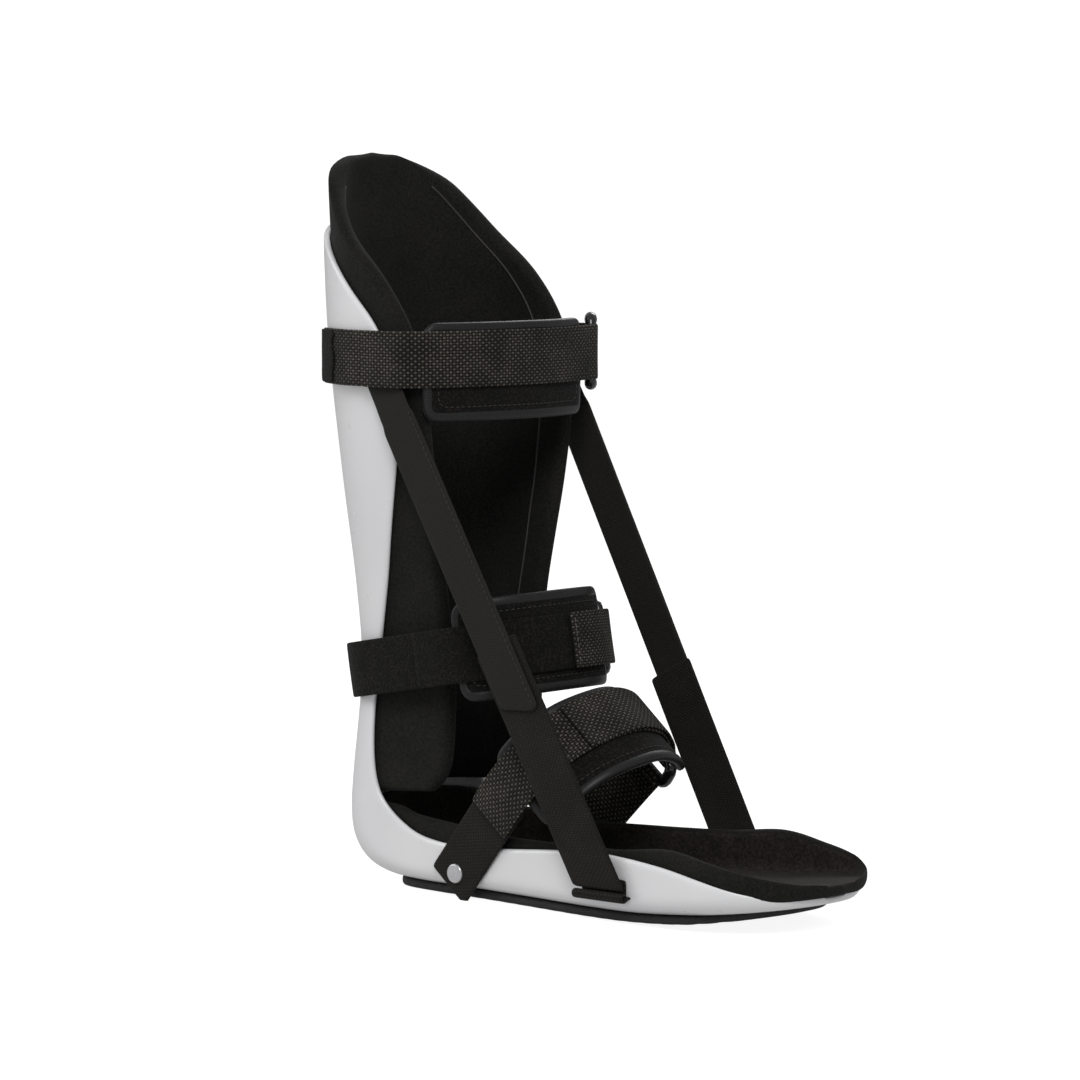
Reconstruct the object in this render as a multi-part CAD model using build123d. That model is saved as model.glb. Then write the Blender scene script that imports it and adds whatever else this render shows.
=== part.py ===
from build123d import *
import math
import os

# Ankle foot orthosis. X points to the toes, Z up, origin on the ground under the heel.
# Driving dimensions, millimetres.
SHELL_WALL = 3.0
LINER_GAP = 0.3
LINER_WALL = 8.0
PIVOT_X = 38.0
PIVOT_Z = 52.0
TOE_TIP_X = 232.0
SOLE_THICKNESS = 4.2

WEBBING_WIDTH = 25.0
WEBBING_THICKNESS = 1.5
PAD_THICKNESS = 5.0
TENSION_WIDTH = 20.0
LAYER_GAP = 0.4

CALF_BAND_Z = 247.0
ANKLE_BAND_Z = 104.7
ANKLE_BAND_TILT = 10.0
INSTEP_BASE = (41.5, 12.0)
INSTEP_TILT = 50.0

BAR_RADIUS = 2.2
BAR_SPACING = 12.0
SLEEVE_CLEARANCE = 0.08
SLEEVE_WALL = 1.3
CHEEK_THICKNESS = 4.2
CHEEK_MARGIN = 0.45
RING_INSIDE = 27.0

# Tension straps: straight from the calf down to the foot wall, near side (negative Y).
TENSION_TOP = Vector(21.0, -59.2, 226.0)
TENSION_FOOT = Vector(136.5, -51.5, 15.6)
TENSION_THICKNESS = 1.4
TENSION_FOOT_LIFT = 3.4
# Where the upper strap's tail and the lower strap's head lie, measured up from the foot.
TENSION_LAP = {"near": (84.0, 120.0), "far": (62.0, 98.0)}
CREASE_GAP = 1.5
TAB_LENGTH = 26.0
TAB_FACE_Y = -59.85

SLOT_X = 136.5
SLOT_Z = 13.2
SLOT_LENGTH = 30.0
SLOT_HEIGHT = 3.2
FOLD_ROLL_RADIUS = 1.9
FOLD_ROLL_Y = -51.6
FOLD_LEAF_Y = -47.8
FOLD_LEAF_SIZE = (SLOT_LENGTH - 2, 7.6, 1.8)

RIVET_HEAD_RADIUS = 4.5
RIVET_HEAD_HEIGHT = 1.3
RIVET_EDGE = 0.9
RIVET_SHANK_RADIUS = 1.9
RIVET_SHANK_LENGTH = 5.4

# Upright stations from the top down: height, back of the shell, half width, corner radius.
UPRIGHT = [
    (345.0, -55.0, 57.0, 48.0),
    (305.0, -52.0, 59.0, 50.0),
    (250.0, -48.0, 59.5, 50.0),
    (190.0, -43.0, 52.0, 44.0),
    (140.0, -39.0, 42.0, 35.0),
    (100.0, -37.0, 37.5, 30.0),
    (PIVOT_Z, -41.3, 37.5, 28.0),
]
# Heel stations: a point on the back line, half width, corner radius. Each one faces the pivot.
HEEL = [
    (-41.3, 34.0, 37.5, 26.0),
    (-38.0, 20.0, 37.0, 23.0),
    (-28.5, 10.0, 36.5, 19.0),
    (-13.0, 5.4, 36.5, 14.0),
    (8.0, 4.5, 37.0, 9.0),
]
# Foot stations from the heel forward: distance, underside, half width, corner radius.
FOOT = [
    (PIVOT_X, 4.5, 38.5, 8.0),
    (80.0, 4.5, 41.0, 7.5),
    (120.0, 4.5, 44.5, 7.5),
    (150.0, 5.3, 47.5, 8.0),
    (180.0, 7.5, 48.0, 9.0),
    (210.0, 11.0, 47.0, 9.0),
    (240.0, 15.0, 46.0, 9.0),
]

# Edge of the sole seen from above, from the heel to the tip.
SOLE_SIDE = [
    (0.0, 29.0), (25.0, 32.0), (55.0, 34.0), (90.0, 37.0), (124.0, 40.0), (157.0, 42.0),
    (185.0, 40.5), (208.0, 32.0), (221.0, 17.0), (225.0, 0.0),
]

SHELL_TRIM = [
    (-41.6, 306.0), (-24.0, 292.0), (-8.0, 278.0), (8.0, 262.0), (18.0, 242.0), (19.0, 222.0),
    (14.0, 195.0), (3.4, 158.0), (-7.0, 120.0), (-14.0, 87.0), (-14.5, 60.0), (-9.0, 42.0),
    (7.5, 28.5), (29.0, 24.0), (60.0, 24.5), (105.0, 28.5), (136.0, 30.0), (165.0, 28.0),
    (190.0, 23.5), (212.0, 18.5), (240.0, 14.0),
]
CALF_LINER_TRIM = [
    (-50.0, 339.5), (-42.0, 336.0), (-33.0, 323.0), (-16.0, 303.0), (6.0, 284.0), (22.0, 262.0),
    (29.0, 240.0), (31.0, 215.0), (30.0, 165.0), (29.0, 130.0), (29.5, 95.0), (28.0, 62.0),
    (20.0, 47.5),
]
FOOT_LINER_TRIM = [
    (7.0, 34.0), (33.0, 31.5), (70.0, 29.0), (110.0, 30.0), (138.0, 31.0), (167.0, 34.0),
    (190.0, 30.5), (212.0, 26.0), (236.0, 20.5),
]


def section(x, z, inward, half_width, radius, reach, wall):
    """U section of one wall thickness that opens along the inward direction."""
    plane = Plane(origin=(x, 0, z), x_dir=(0, 1, 0), z_dir=(inward[1], 0, -inward[0]))
    edges = []
    ends = []
    for inset in (0.0, wall):
        side = half_width - inset
        corner = max(radius - inset, 3.0)
        flat = side - corner
        bend = corner * (1 - math.sqrt(0.5))
        low = inset + corner
        edges += [
            Line((side, reach), (side, low)),
            ThreePointArc((side, low), (side - bend, inset + bend), (flat, inset)),
            Line((flat, inset), (-flat, inset)),
            ThreePointArc((-flat, inset), (bend - side, inset + bend), (-side, low)),
            Line((-side, low), (-side, reach)),
        ]
        ends.append(side)
    edges += [Line((sign * ends[0], reach), (sign * ends[1], reach)) for sign in (-1, 1)]
    return plane * make_face(edges)


def boot(inset, wall):
    """The open L of the orthosis in one wall thickness, set in from the outer surface."""
    faces = []
    for z, x, half_width, radius in UPRIGHT:
        reach = PIVOT_X - x - inset - 1
        faces.append(section(x + inset, z, (1, 0), half_width - inset, radius - inset, reach, wall))
    for x, z, half_width, radius in HEEL:
        distance = math.hypot(PIVOT_X - x, PIVOT_Z - z)
        inward = ((PIVOT_X - x) / distance, (PIVOT_Z - z) / distance)
        start = (x + inset * inward[0], z + inset * inward[1])
        reach = distance - inset - 1
        faces.append(section(*start, inward, half_width - inset, radius - inset, reach, wall))
    for x, z, half_width, radius in FOOT:
        reach = PIVOT_Z - z - inset - 1
        faces.append(section(x, z + inset, (0, 1), half_width - inset, radius - inset, reach, wall))
    return loft(faces)


def prism(outline, plane, depth):
    """Straight block, even on both sides of the plane."""
    return extrude(plane * make_face(outline), depth, both=True)


def side_block(trim, floor, back):
    """Everything behind and below a trim line seen from the side."""
    first, last = trim[0], trim[-1]
    outline = [
        Spline(*trim),
        Line(last, (last[0], floor)),
        Line((last[0], floor), (back, floor)),
        Line((back, floor), (back, first[1])),
        Line((back, first[1]), first),
    ]
    return prism(outline, Plane.XZ, 80)


def toe_block(tip, half_width, start):
    """Plan outline of the foot: straight behind, one rounded toe in front."""
    outline = [
        Line((-80, -70), (start, -70)),
        Line((start, -70), (start, -half_width)),
        EllipticalCenterArc((start, 0), tip - start, half_width, -90, arc_size=180),
        Line((start, half_width), (start, 70)),
        Line((start, 70), (-80, 70)),
        Line((-80, 70), (-80, -70)),
    ]
    return extrude(Plane.XY.offset(-10) * make_face(outline), 400)


def make_rigid_shell():
    """The white L, with one strap slot through each side wall of the foot."""
    body = boot(0, SHELL_WALL) & side_block(SHELL_TRIM, -10, -80) & toe_block(TOE_TIP_X - 3, 50, 180)
    for side in (-1, 1):
        body -= Pos(SLOT_X, side * 46, SLOT_Z) * Box(SLOT_LENGTH, 24, SLOT_HEIGHT)
    return body


def make_liner_blank():
    return boot(SHELL_WALL + LINER_GAP, LINER_WALL)


def make_calf_liner(blank):
    return blank & side_block(CALF_LINER_TRIM, 42.0, -80)


def make_foot_liner(blank):
    """Heel cup and foot tray padding, up to where the calf liner starts."""
    ceiling = 41.6
    first = FOOT_LINER_TRIM[0]
    last = FOOT_LINER_TRIM[-1]
    outline = [
        Spline(*FOOT_LINER_TRIM),
        Line(last, (last[0], -10)),
        Line((last[0], -10), (-80, -10)),
        Line((-80, -10), (-80, ceiling)),
        Line((-80, ceiling), (6, ceiling)),
        Line((6, ceiling), first),
    ]
    return blank & prism(outline, Plane.XZ, 80) & toe_block(TOE_TIP_X, 47, 182)


def make_outsole():
    """Rubber sole: flat under the heel and arch, and turned up under the toes."""
    top = [(-16, 4.2), (40, 4.2), (120, 4.2), (150, 5.0), (180, 7.2), (210, 10.7), (228, 12.8)]
    bottom = [(x, z - SOLE_THICKNESS) for x, z in top]
    profile = [
        Line(top[0], top[2]), Spline(*top[2:], tangents=[(1, 0), (1, 0.12)]),
        Line(top[-1], bottom[-1]),
        Spline(*reversed(bottom[2:]), tangents=[(-1, -0.12), (-1, 0)]), Line(bottom[2], bottom[0]),
        Line(bottom[0], top[0]),
    ]
    plan = [
        ThreePointArc((0, -29), (-16, 0), (0, 29)),
        Spline(*SOLE_SIDE),
        Spline(*[(x, -y) for x, y in reversed(SOLE_SIDE)]),
    ]
    return prism(profile, Plane.XZ, 80) & extrude(make_face(plan), 30)


def offset_points(path, distance):
    """Points moved to the outer side of a path that runs from the near side to the far side."""
    moved = []
    for index, point in enumerate(path):
        before = path[max(index - 1, 0)]
        after = path[min(index + 1, len(path) - 1)]
        length = math.dist(before, after)
        slope = ((after[0] - before[0]) / length, (after[1] - before[1]) / length)
        moved.append((point[0] + slope[1] * distance, point[1] - slope[0] * distance))
    return moved


def ribbon(plane, path, inner, outer, width, shift=0.0):
    """Band between two offsets of a path, with its width across the plane."""
    inside = offset_points(path, inner)
    outside = offset_points(path, outer)
    outline = [
        Spline(*inside), Line(inside[-1], outside[-1]),
        Spline(*reversed(outside)), Line(outside[0], inside[0]),
    ]
    return extrude(plane.offset(shift) * make_face(outline), width / 2, both=True)


def tube(plane, centre, outer, inner, length):
    ring = Circle(outer) - Circle(inner)
    return extrude(plane * Pos(*centre) * ring, length / 2, both=True)


def rod(plane, centre, radius, length):
    return extrude(plane * Pos(*centre) * Circle(radius), length / 2, both=True)


def make_ring(plane, front, rear):
    """Two round bars joined by a cheek at each end."""
    angle = math.degrees(math.atan2(rear[1] - front[1], rear[0] - front[0]))
    middle = ((front[0] + rear[0]) / 2, (front[1] + rear[1]) / 2)
    reach = RING_INSIDE / 2 + CHEEK_THICKNESS
    body = rod(plane, front, BAR_RADIUS, 2 * reach - 1) + rod(plane, rear, BAR_RADIUS, 2 * reach - 1)
    shape = SlotCenterToCenter(BAR_SPACING, 2 * (BAR_RADIUS + CHEEK_MARGIN))
    for side in (-1, 1):
        middle_height = side * (RING_INSIDE + CHEEK_THICKNESS) / 2
        level = plane.offset(middle_height)
        body += extrude(level * Pos(*middle) * Rot(0, 0, angle) * shape, CHEEK_THICKNESS / 2, both=True)
    return body


def loop_end(plane, bar, body):
    """Adds the sewn loop that holds a strap to a ring's bar."""
    inner = BAR_RADIUS + SLEEVE_CLEARANCE
    outer = inner + SLEEVE_WALL
    hole = rod(plane, bar, inner, 60)
    return body + tube(plane, bar, outer, inner, WEBBING_WIDTH) - hole


# The three closing bands. Each path runs in its own plane from the near side round the front.
CALF_PLANE = Plane.XY.offset(CALF_BAND_Z)
TILT = math.radians(ANKLE_BAND_TILT)
ANKLE_PLANE = Plane(origin=(0, 0, ANKLE_BAND_Z), x_dir=(math.cos(TILT), 0, math.sin(TILT)),
                    z_dir=(-math.sin(TILT), 0, math.cos(TILT)))
RISE = math.radians(INSTEP_TILT)
INSTEP_PLANE = Plane(origin=(INSTEP_BASE[0], 0, INSTEP_BASE[1]),
                     x_dir=(math.cos(RISE), 0, math.sin(RISE)),
                     z_dir=(-math.sin(RISE), 0, math.cos(RISE)))

# Each ring's rear bar stands off its front bar at an angle in the band's plane.
BANDS = {
    "calf": {
        "plane": CALF_PLANE,
        "front": [(6, -64.8), (18, -64.5), (29, -62.2), (39, -51.5), (47, -28), (51.5, 0),
                  (50.8, 20), (47.6, 38), (43.4, 53.1)],
        "pad": [(38.8, -51.8), (47, -28), (51.5, 0), (50.8, 20), (47.6, 38)],
        "pad_width": 43.0,
        "pad_shift": -6.0,
        "front_bar": (41.3, 54.4),
        "ring_angle": 131.7,
        "back": [(-30.5, -50.2), (-27, -52.9), (-14, -59.4), (-2, -62.2), (18, -62.2)],
        "keeper": [(-2, 62.6), (12, 62.6), (24, 62.6), (31.6, 62.6)],
    },
    "ankle": {
        "plane": ANKLE_PLANE,
        "front": [(22, -46), (42, -47), (58, -41), (70, -25), (76, 0), (74, 20), (67, 36), (59.4, 44.6)],
        "pad": [(47, -46), (58, -41), (70, -25), (76, 0), (74, 20), (68, 34)],
        "pad_width": 44.0,
        "pad_shift": 1.0,
        "front_bar": (57.0, 45.5),
        "ring_angle": 166.8,
        "back": [(42, -44.2), (20, -43.8), (-6, -41.8), (-24.6, -37.6), (-37.6, -25.2), (-42.7, -8),
                 (-42.7, 8), (-37.6, 25.2), (-24.6, 37.6), (-6, 41.8), (20, 44.8), (43.9, 47.6)],
        "tongue": [(76, 4), (74, 20), (67, 36), (61.5, 43)],
    },
    "instep": {
        "plane": INSTEP_PLANE,
        "front": [(36, -44.5), (56, -45), (76, -40), (92, -24), (99, 0), (95, 20), (85, 35),
                  (74.0, 44.0)],
        "pad": [(58, -44.6), (76, -40), (92, -24), (99, 0), (95, 20), (86, 33.5)],
        "pad_width": 44.0,
        "pad_shift": -6.0,
        "front_bar": (71.5, 45.0),
        "ring_angle": 171.8,
        "back": [(-8, -39.7), (10, -40.8), (30, -42.1), (52, -42.8)],
        "keeper": [(-8, 39.7), (10, 40.8), (30, 43.0), (58.2, 46.4)],
        "tongue": [(91, -26), (99, 0), (95, 20), (85, 35), (77, 42.4)],
    },
}

def rear_bar(band):
    angle = math.radians(band["ring_angle"])
    x, y = band["front_bar"]
    return (x + BAR_SPACING * math.cos(angle), y + BAR_SPACING * math.sin(angle))


def band_front(band):
    half = WEBBING_THICKNESS / 2
    strap = ribbon(band["plane"], band["front"], -half, half, WEBBING_WIDTH)
    return loop_end(band["plane"], band["front_bar"], strap)


def band_pad(band):
    inner = -WEBBING_THICKNESS / 2 - LAYER_GAP
    return ribbon(band["plane"], band["pad"], inner - PAD_THICKNESS, inner,
                  band["pad_width"], band["pad_shift"])


def band_tongue(band):
    inner = WEBBING_THICKNESS / 2 + LAYER_GAP
    return ribbon(band["plane"], band["tongue"], inner, inner + WEBBING_THICKNESS, WEBBING_WIDTH)


def plain_band(band, key):
    half = WEBBING_THICKNESS / 2
    return ribbon(band["plane"], band[key], -half, half, WEBBING_WIDTH)


def far(shape):
    """The far side's twin of a near side piece."""
    return mirror(shape, about=Plane.XZ)


def rivet(x, y, z):
    """Domed head outside a strap, with a shank through it into the shell wall."""
    side = math.copysign(1, y)
    outward = Plane(origin=(x, y, z), x_dir=(1, 0, 0), z_dir=(0, side, 0))
    head = extrude(outward * Circle(RIVET_HEAD_RADIUS), RIVET_HEAD_HEIGHT)
    head = fillet(head.edges().group_by(Axis.Y)[-1 if side > 0 else 0], RIVET_EDGE)
    shank = extrude(outward * Circle(RIVET_SHANK_RADIUS), -RIVET_SHANK_LENGTH)
    return head + shank


def tension_plane():
    """Plane of a tension strap: X across it, Y along it from the foot, Z outward."""
    along = (TENSION_TOP - TENSION_FOOT).normalized()
    across = Vector(0, 1, 0).cross(along).normalized()
    return Plane(origin=TENSION_FOOT, x_dir=across, z_dir=across.cross(along))


def flat_strap(plane, corners, low, high):
    face = make_face(Polyline(*corners, close=True))
    return extrude(plane.offset(low) * face, high - low)


def make_upper_tension(tail):
    half = TENSION_WIDTH / 2
    top = (TENSION_TOP - TENSION_FOOT).length - CREASE_GAP / 2
    corners = [(-half, top), (-half, tail + 9), (half - 2, tail), (half, tail + 1.5), (half, top)]
    low = WEBBING_THICKNESS / 2 + LAYER_GAP
    return flat_strap(tension_plane(), corners, low, low + TENSION_THICKNESS)


def make_lower_tension(head):
    """The lower edge is cut level, just above the fold that comes out of the slot."""
    half = WEBBING_WIDTH / 2
    plane = tension_plane()
    rise = (SLOT_Z + TENSION_FOOT_LIFT - TENSION_FOOT.Z) / plane.y_dir.Z
    slant = half * plane.x_dir.Z / plane.y_dir.Z
    corners = [(-half, rise + slant), (half, rise - slant), (half, head), (-half, head)]
    return flat_strap(plane, corners, -WEBBING_THICKNESS / 2, WEBBING_THICKNESS / 2)


def make_tension_tab():
    """Short upper end of a tension strap, held flat under the calf strap by its rivet."""
    half = TENSION_WIDTH / 2
    start = (TENSION_TOP - TENSION_FOOT).length + CREASE_GAP / 2
    across = tension_plane().x_dir
    upright = Plane(origin=(TENSION_FOOT.X, TAB_FACE_Y, TENSION_FOOT.Z), x_dir=across, z_dir=(0, -1, 0))
    corners = [(-half, start), (half, start), (half, start + TAB_LENGTH), (-half, start + TAB_LENGTH)]
    return flat_strap(upright, corners, 0, TENSION_THICKNESS)


def make_slot_fold():
    """The lower strap's end, turned out of its slot in the foot wall and rolled."""
    leaf = Pos(SLOT_X, FOLD_LEAF_Y, SLOT_Z) * Box(*FOLD_LEAF_SIZE)
    roll = Pos(SLOT_X, FOLD_ROLL_Y, SLOT_Z) * Rot(0, 90, 0) * Cylinder(FOLD_ROLL_RADIUS, SLOT_LENGTH)
    return leaf + roll


def save(shape, name):
    shape.label = name
    export_step(shape, f"parts/{name}.step")


def main():
    os.makedirs("parts", exist_ok=True)
    calf_rivets = [rivet(12, -62.3, 250), rivet(4, 63.35, 250)]
    instep_rivets = [rivet(41.5, -41.0, 12), rivet(41.5, 41.0, 12)]
    shell = make_rigid_shell()
    pieces = {}
    for name, band in BANDS.items():
        pieces[name + "_front_strap"] = band_front(band)
        pieces[name + "_pad"] = band_pad(band)
        pieces[name + "_ring"] = make_ring(band["plane"], band["front_bar"], rear_bar(band))
        back = plain_band(band, "back")
        if "keeper" in band:
            keeper = loop_end(band["plane"], rear_bar(band), plain_band(band, "keeper"))
            pieces[name + "_ring_keeper"] = keeper
        else:
            back = loop_end(band["plane"], rear_bar(band), back)
        pieces[name + "_back_strap"] = back
        if "tongue" in band:
            pieces[name + "_tongue"] = band_tongue(band)
    for side, (tail, head) in TENSION_LAP.items():
        tension = {
            "tension_tab": make_tension_tab(),
            "upper_tension_strap": make_upper_tension(tail),
            "lower_tension_strap": make_lower_tension(head),
            "slot_fold": make_slot_fold(),
        }
        for name, shape in tension.items():
            pieces[f"{side}_{name}"] = shape if side == "near" else far(shape)
    for pin in calf_rivets + instep_rivets:
        shell = shell - pin
        for name in ("calf_back_strap", "calf_ring_keeper", "near_tension_tab", "far_tension_tab",
                     "instep_back_strap", "instep_ring_keeper"):
            pieces[name] = pieces[name] - pin
    pieces["calf_rivets"] = Compound(calf_rivets)
    pieces["instep_near_rivet"] = instep_rivets[0]
    pieces["instep_far_rivet"] = instep_rivets[1]
    pieces["rigid_shell"] = shell
    blank = make_liner_blank()
    pieces["calf_liner"] = make_calf_liner(blank)
    pieces["foot_liner"] = make_foot_liner(blank)
    pieces["outsole"] = make_outsole()
    for name, shape in pieces.items():
        save(shape, name)


main()
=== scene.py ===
import math

import bmesh
import bpy
import numpy as np
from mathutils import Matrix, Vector, noise


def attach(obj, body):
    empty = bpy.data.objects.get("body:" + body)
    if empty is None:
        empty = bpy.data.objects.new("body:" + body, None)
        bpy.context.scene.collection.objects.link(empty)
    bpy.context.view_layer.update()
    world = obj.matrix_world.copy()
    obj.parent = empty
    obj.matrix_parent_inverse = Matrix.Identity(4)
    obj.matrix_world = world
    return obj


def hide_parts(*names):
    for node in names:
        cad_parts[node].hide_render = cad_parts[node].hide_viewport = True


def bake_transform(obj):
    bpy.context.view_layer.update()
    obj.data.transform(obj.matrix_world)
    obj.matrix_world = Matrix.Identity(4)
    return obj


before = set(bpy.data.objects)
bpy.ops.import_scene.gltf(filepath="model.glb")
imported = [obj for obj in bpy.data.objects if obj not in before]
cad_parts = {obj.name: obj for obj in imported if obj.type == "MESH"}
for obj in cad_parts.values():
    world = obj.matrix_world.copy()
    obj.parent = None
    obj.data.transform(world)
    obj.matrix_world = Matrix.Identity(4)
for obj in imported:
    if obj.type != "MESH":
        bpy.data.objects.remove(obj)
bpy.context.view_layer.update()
MM = 0.001
# Without a seed the liners' small unevenness is another one in every run.
noise.seed_set(7)

# ---------------------------------------------------------------- driving sizes, millimetres
SHELL_WALL = 3.0
LINER_INSET = 3.4
LINER_WALL = 7.6
PIVOT = (38.0, 52.0)
SOLE_THICKNESS = 4.2
WEBBING_WIDTH = 25.0
WEBBING_THICKNESS = 1.5
TENSION_WIDTH = 20.0
TENSION_THICKNESS = 1.4
LAYER_GAP = 0.4
PAD_THICKNESS = 5.0
BAR_SPACING = 12.0
BAR_RADIUS = 2.15
RING_HALF_WIDTH = 15.4
RING_END_RADIUS = 2.9
RING_CORNER = 4.2
LOOP_RADIUS = 3.0


def facing(x, z):
    """Direction from a point of the heel to the pivot, in degrees."""
    return math.degrees(math.atan2(PIVOT[1] - z, PIVOT[0] - x))


# Back line of the shell: x, z, direction of its inner side in degrees, half width, corner radius.
SPINE = [(-55.0, 345.0, 0, 57.0, 48.0), (-52.0, 305.0, 0, 59.0, 50.0), (-48.0, 250.0, 0, 59.5, 50.0),
         (-43.0, 190.0, 0, 52.0, 44.0), (-39.0, 140.0, 0, 42.0, 35.0), (-37.0, 100.0, 0, 37.5, 30.0),
         (-41.3, PIVOT[1], 0, 37.5, 28.0)]
SPINE += [(x, z, facing(x, z), w, r) for x, z, w, r in (
    (-41.3, 34.0, 37.5, 26.0), (-38.0, 20.0, 37.0, 23.0), (-28.5, 10.0, 36.5, 19.0),
    (-13.0, 5.4, 36.5, 14.0), (8.0, 4.5, 37.0, 9.0))]
SPINE += [(x, z, 90, w, r) for x, z, w, r in (
    (PIVOT[0], 4.5, 38.5, 8.0), (80.0, 4.5, 41.0, 7.5), (120.0, 4.5, 44.5, 7.5),
    (150.0, 5.3, 47.5, 8.0), (180.0, 7.5, 48.0, 9.0), (210.0, 11.0, 47.0, 9.0),
    (240.0, 15.0, 46.0, 9.0))]

SHELL_TRIM = [(-60, 311), (-52, 310.5), (-41.6, 306), (-24, 292), (-8, 278), (8, 262), (18, 242), (19, 222),
              (14, 195), (3.4, 158), (-7, 120), (-14, 87), (-14.5, 60), (-9, 42), (7.5, 28.5), (29, 24),
              (60, 24.5), (105, 28.5), (136, 30), (165, 28), (190, 23.5), (212, 18.5), (240, 14)]
CALF_LINER_TRIM = [(-60, 339.5), (-50, 339.2), (-42, 336), (-33, 323), (-16, 303), (6, 284), (22, 262),
                   (29, 240), (31.5, 215), (30, 165), (29, 130), (29.5, 95), (28, 62), (20.5, 49), (10, 44)]
FOOT_LINER_TRIM = [(-50, 39), (-20, 39), (-4, 37.5), (7, 34), (33, 31.5), (70, 29), (110, 30), (138, 31),
                   (167, 34), (190, 30.5), (212, 26), (236, 20.5)]

# Stands for no limit at all, in millimetres.
FREE = 999.0
SEAM_RADIUS = 0.55
# How far round its bar a strap's sewn loop goes, in degrees.
LOOP_SWEEP = 262
STRAP_COLUMNS = 9
# Heights are measured outward from the middle of a strap's webbing.
PAD_TOP = -WEBBING_THICKNESS / 2 - LAYER_GAP
CUFF_CORNER = 6.0
CUFF_FLARE = 1.2
CUFF_STITCH_INSET = 5.2
BINDING_REACH = 2.5


# ---------------------------------------------------------------- curves
def smooth_path(points, step):
    """Catmull-Rom curve through the points, cut into even steps."""
    p = np.array(points, float)
    p = np.vstack([2 * p[0] - p[1], p, 2 * p[-1] - p[-2]])
    out = []
    for a, b, c, d in zip(p[:-3], p[1:-2], p[2:-1], p[3:]):
        for t in np.linspace(0, 1, 24, endpoint=False):
            out.append(0.5 * (2 * b + (c - a) * t + (2 * a - 5 * b + 4 * c - d) * t * t
                              + (3 * b - a - 3 * c + d) * t ** 3))
    out.append(p[-2])
    return even(np.array(out), step)


def even(points, step=None, count=None):
    """The same polyline with evenly spaced points."""
    run = np.concatenate([[0], np.cumsum(np.linalg.norm(np.diff(points, axis=0), axis=1))])
    count = count or max(int(round(run[-1] / step)) + 1, 3)
    where = np.linspace(0, run[-1], count)
    return np.stack([np.interp(where, run, points[:, k]) for k in range(points.shape[1])], 1)


def ray_reach(origin, direction, trim):
    """Distance along a ray to the trim line, or None."""
    best = None
    for a, b in zip(trim[:-1], trim[1:]):
        e = b - a
        det = direction[0] * -e[1] + direction[1] * e[0]
        if abs(det) < 1e-9:
            continue
        w = a - origin
        t = (w[0] * -e[1] + w[1] * e[0]) / det
        s = (direction[0] * w[1] - direction[1] * w[0]) / det
        if t > 0 and -1e-6 <= s <= 1 + 1e-6 and (best is None or t < best):
            best = t
    return best


# ---------------------------------------------------------------- meshes
def add_object(name, verts, faces, uvs=None):
    mesh = bpy.data.meshes.new(name)
    mesh.from_pydata([tuple(v) for v in np.asarray(verts) * MM], [], [tuple(f) for f in faces])
    mesh.validate()
    if uvs is not None:
        layer = mesh.uv_layers.new(name="UVMap")
        uvs = np.asarray(uvs) * MM
        index = np.empty(len(mesh.loops), int)
        mesh.loops.foreach_get("vertex_index", index)
        layer.data.foreach_set("uv", uvs[index].astype(np.float32).ravel())
    mesh.update()
    for polygon in mesh.polygons:
        polygon.use_smooth = True
    obj = bpy.data.objects.new(name, mesh)
    bpy.context.scene.collection.objects.link(obj)
    return obj


def fix_normals(obj):
    """Turns every face of a mesh outward."""
    work = bmesh.new()
    work.from_mesh(obj.data)
    bmesh.ops.recalc_face_normals(work, faces=work.faces)
    work.to_mesh(obj.data)
    work.free()


def subdivide(obj):
    modifier = obj.modifiers.new("smooth", "SUBSURF")
    modifier.levels = 1
    modifier.render_levels = 1


def thick_grid(outer, inner, bulge):
    """Closed sheet between two grids of points, with a rounded rim. Returns vertices and faces."""
    rows, columns = outer.shape[:2]
    verts = np.vstack([outer.reshape(-1, 3), inner.reshape(-1, 3)])
    total = rows * columns
    faces = []
    for i in range(rows - 1):
        for j in range(columns - 1):
            a = i * columns + j
            quad = (a, a + 1, a + columns + 1, a + columns)
            faces.append(quad)
            faces.append(tuple(total + k for k in reversed(quad)))
    border = [(0, j) for j in range(columns)] + [(i, columns - 1) for i in range(1, rows)]
    border += [(rows - 1, j) for j in range(columns - 2, -1, -1)] + [(i, 0) for i in range(rows - 2, 0, -1)]
    middle = []
    for i, j in border:
        inside_i = min(max(i, 1), rows - 2)
        inside_j = min(max(j, 1), columns - 2)
        out = outer[i, j] - outer[inside_i, inside_j] + inner[i, j] - inner[inside_i, inside_j]
        middle.append((outer[i, j] + inner[i, j]) / 2 + out / np.linalg.norm(out) * bulge)
    verts = np.vstack([verts, middle])
    first = 2 * total
    count = len(border)
    for k in range(count):
        n = (k + 1) % count
        a = border[k][0] * columns + border[k][1]
        b = border[n][0] * columns + border[n][1]
        faces.append((b, a, first + k, first + n))
        faces.append((total + a, total + b, first + n, first + k))
    return verts, faces, border


def grid_uv(outer, border):
    """Lengths along and across a grid, for every vertex of thick_grid."""
    rows, columns = outer.shape[:2]
    centre = outer[:, columns // 2]
    along = np.concatenate([[0], np.cumsum(np.linalg.norm(np.diff(centre, axis=0), axis=1))])
    wide = outer[rows // 2]
    across = np.concatenate([[0], np.cumsum(np.linalg.norm(np.diff(wide, axis=0), axis=1))])
    uv = np.stack(np.meshgrid(along, across - across[-1] / 2, indexing="ij"), -1).reshape(-1, 2)
    rim = [uv[i * columns + j] for i, j in border]
    return np.vstack([uv, uv, rim])


def sheet_object(name, outer, inner, bulge):
    verts, faces, border = thick_grid(outer, inner, bulge)
    obj = add_object(name, verts, faces, grid_uv(outer, border))
    fix_normals(obj)
    subdivide(obj)
    return obj


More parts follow.
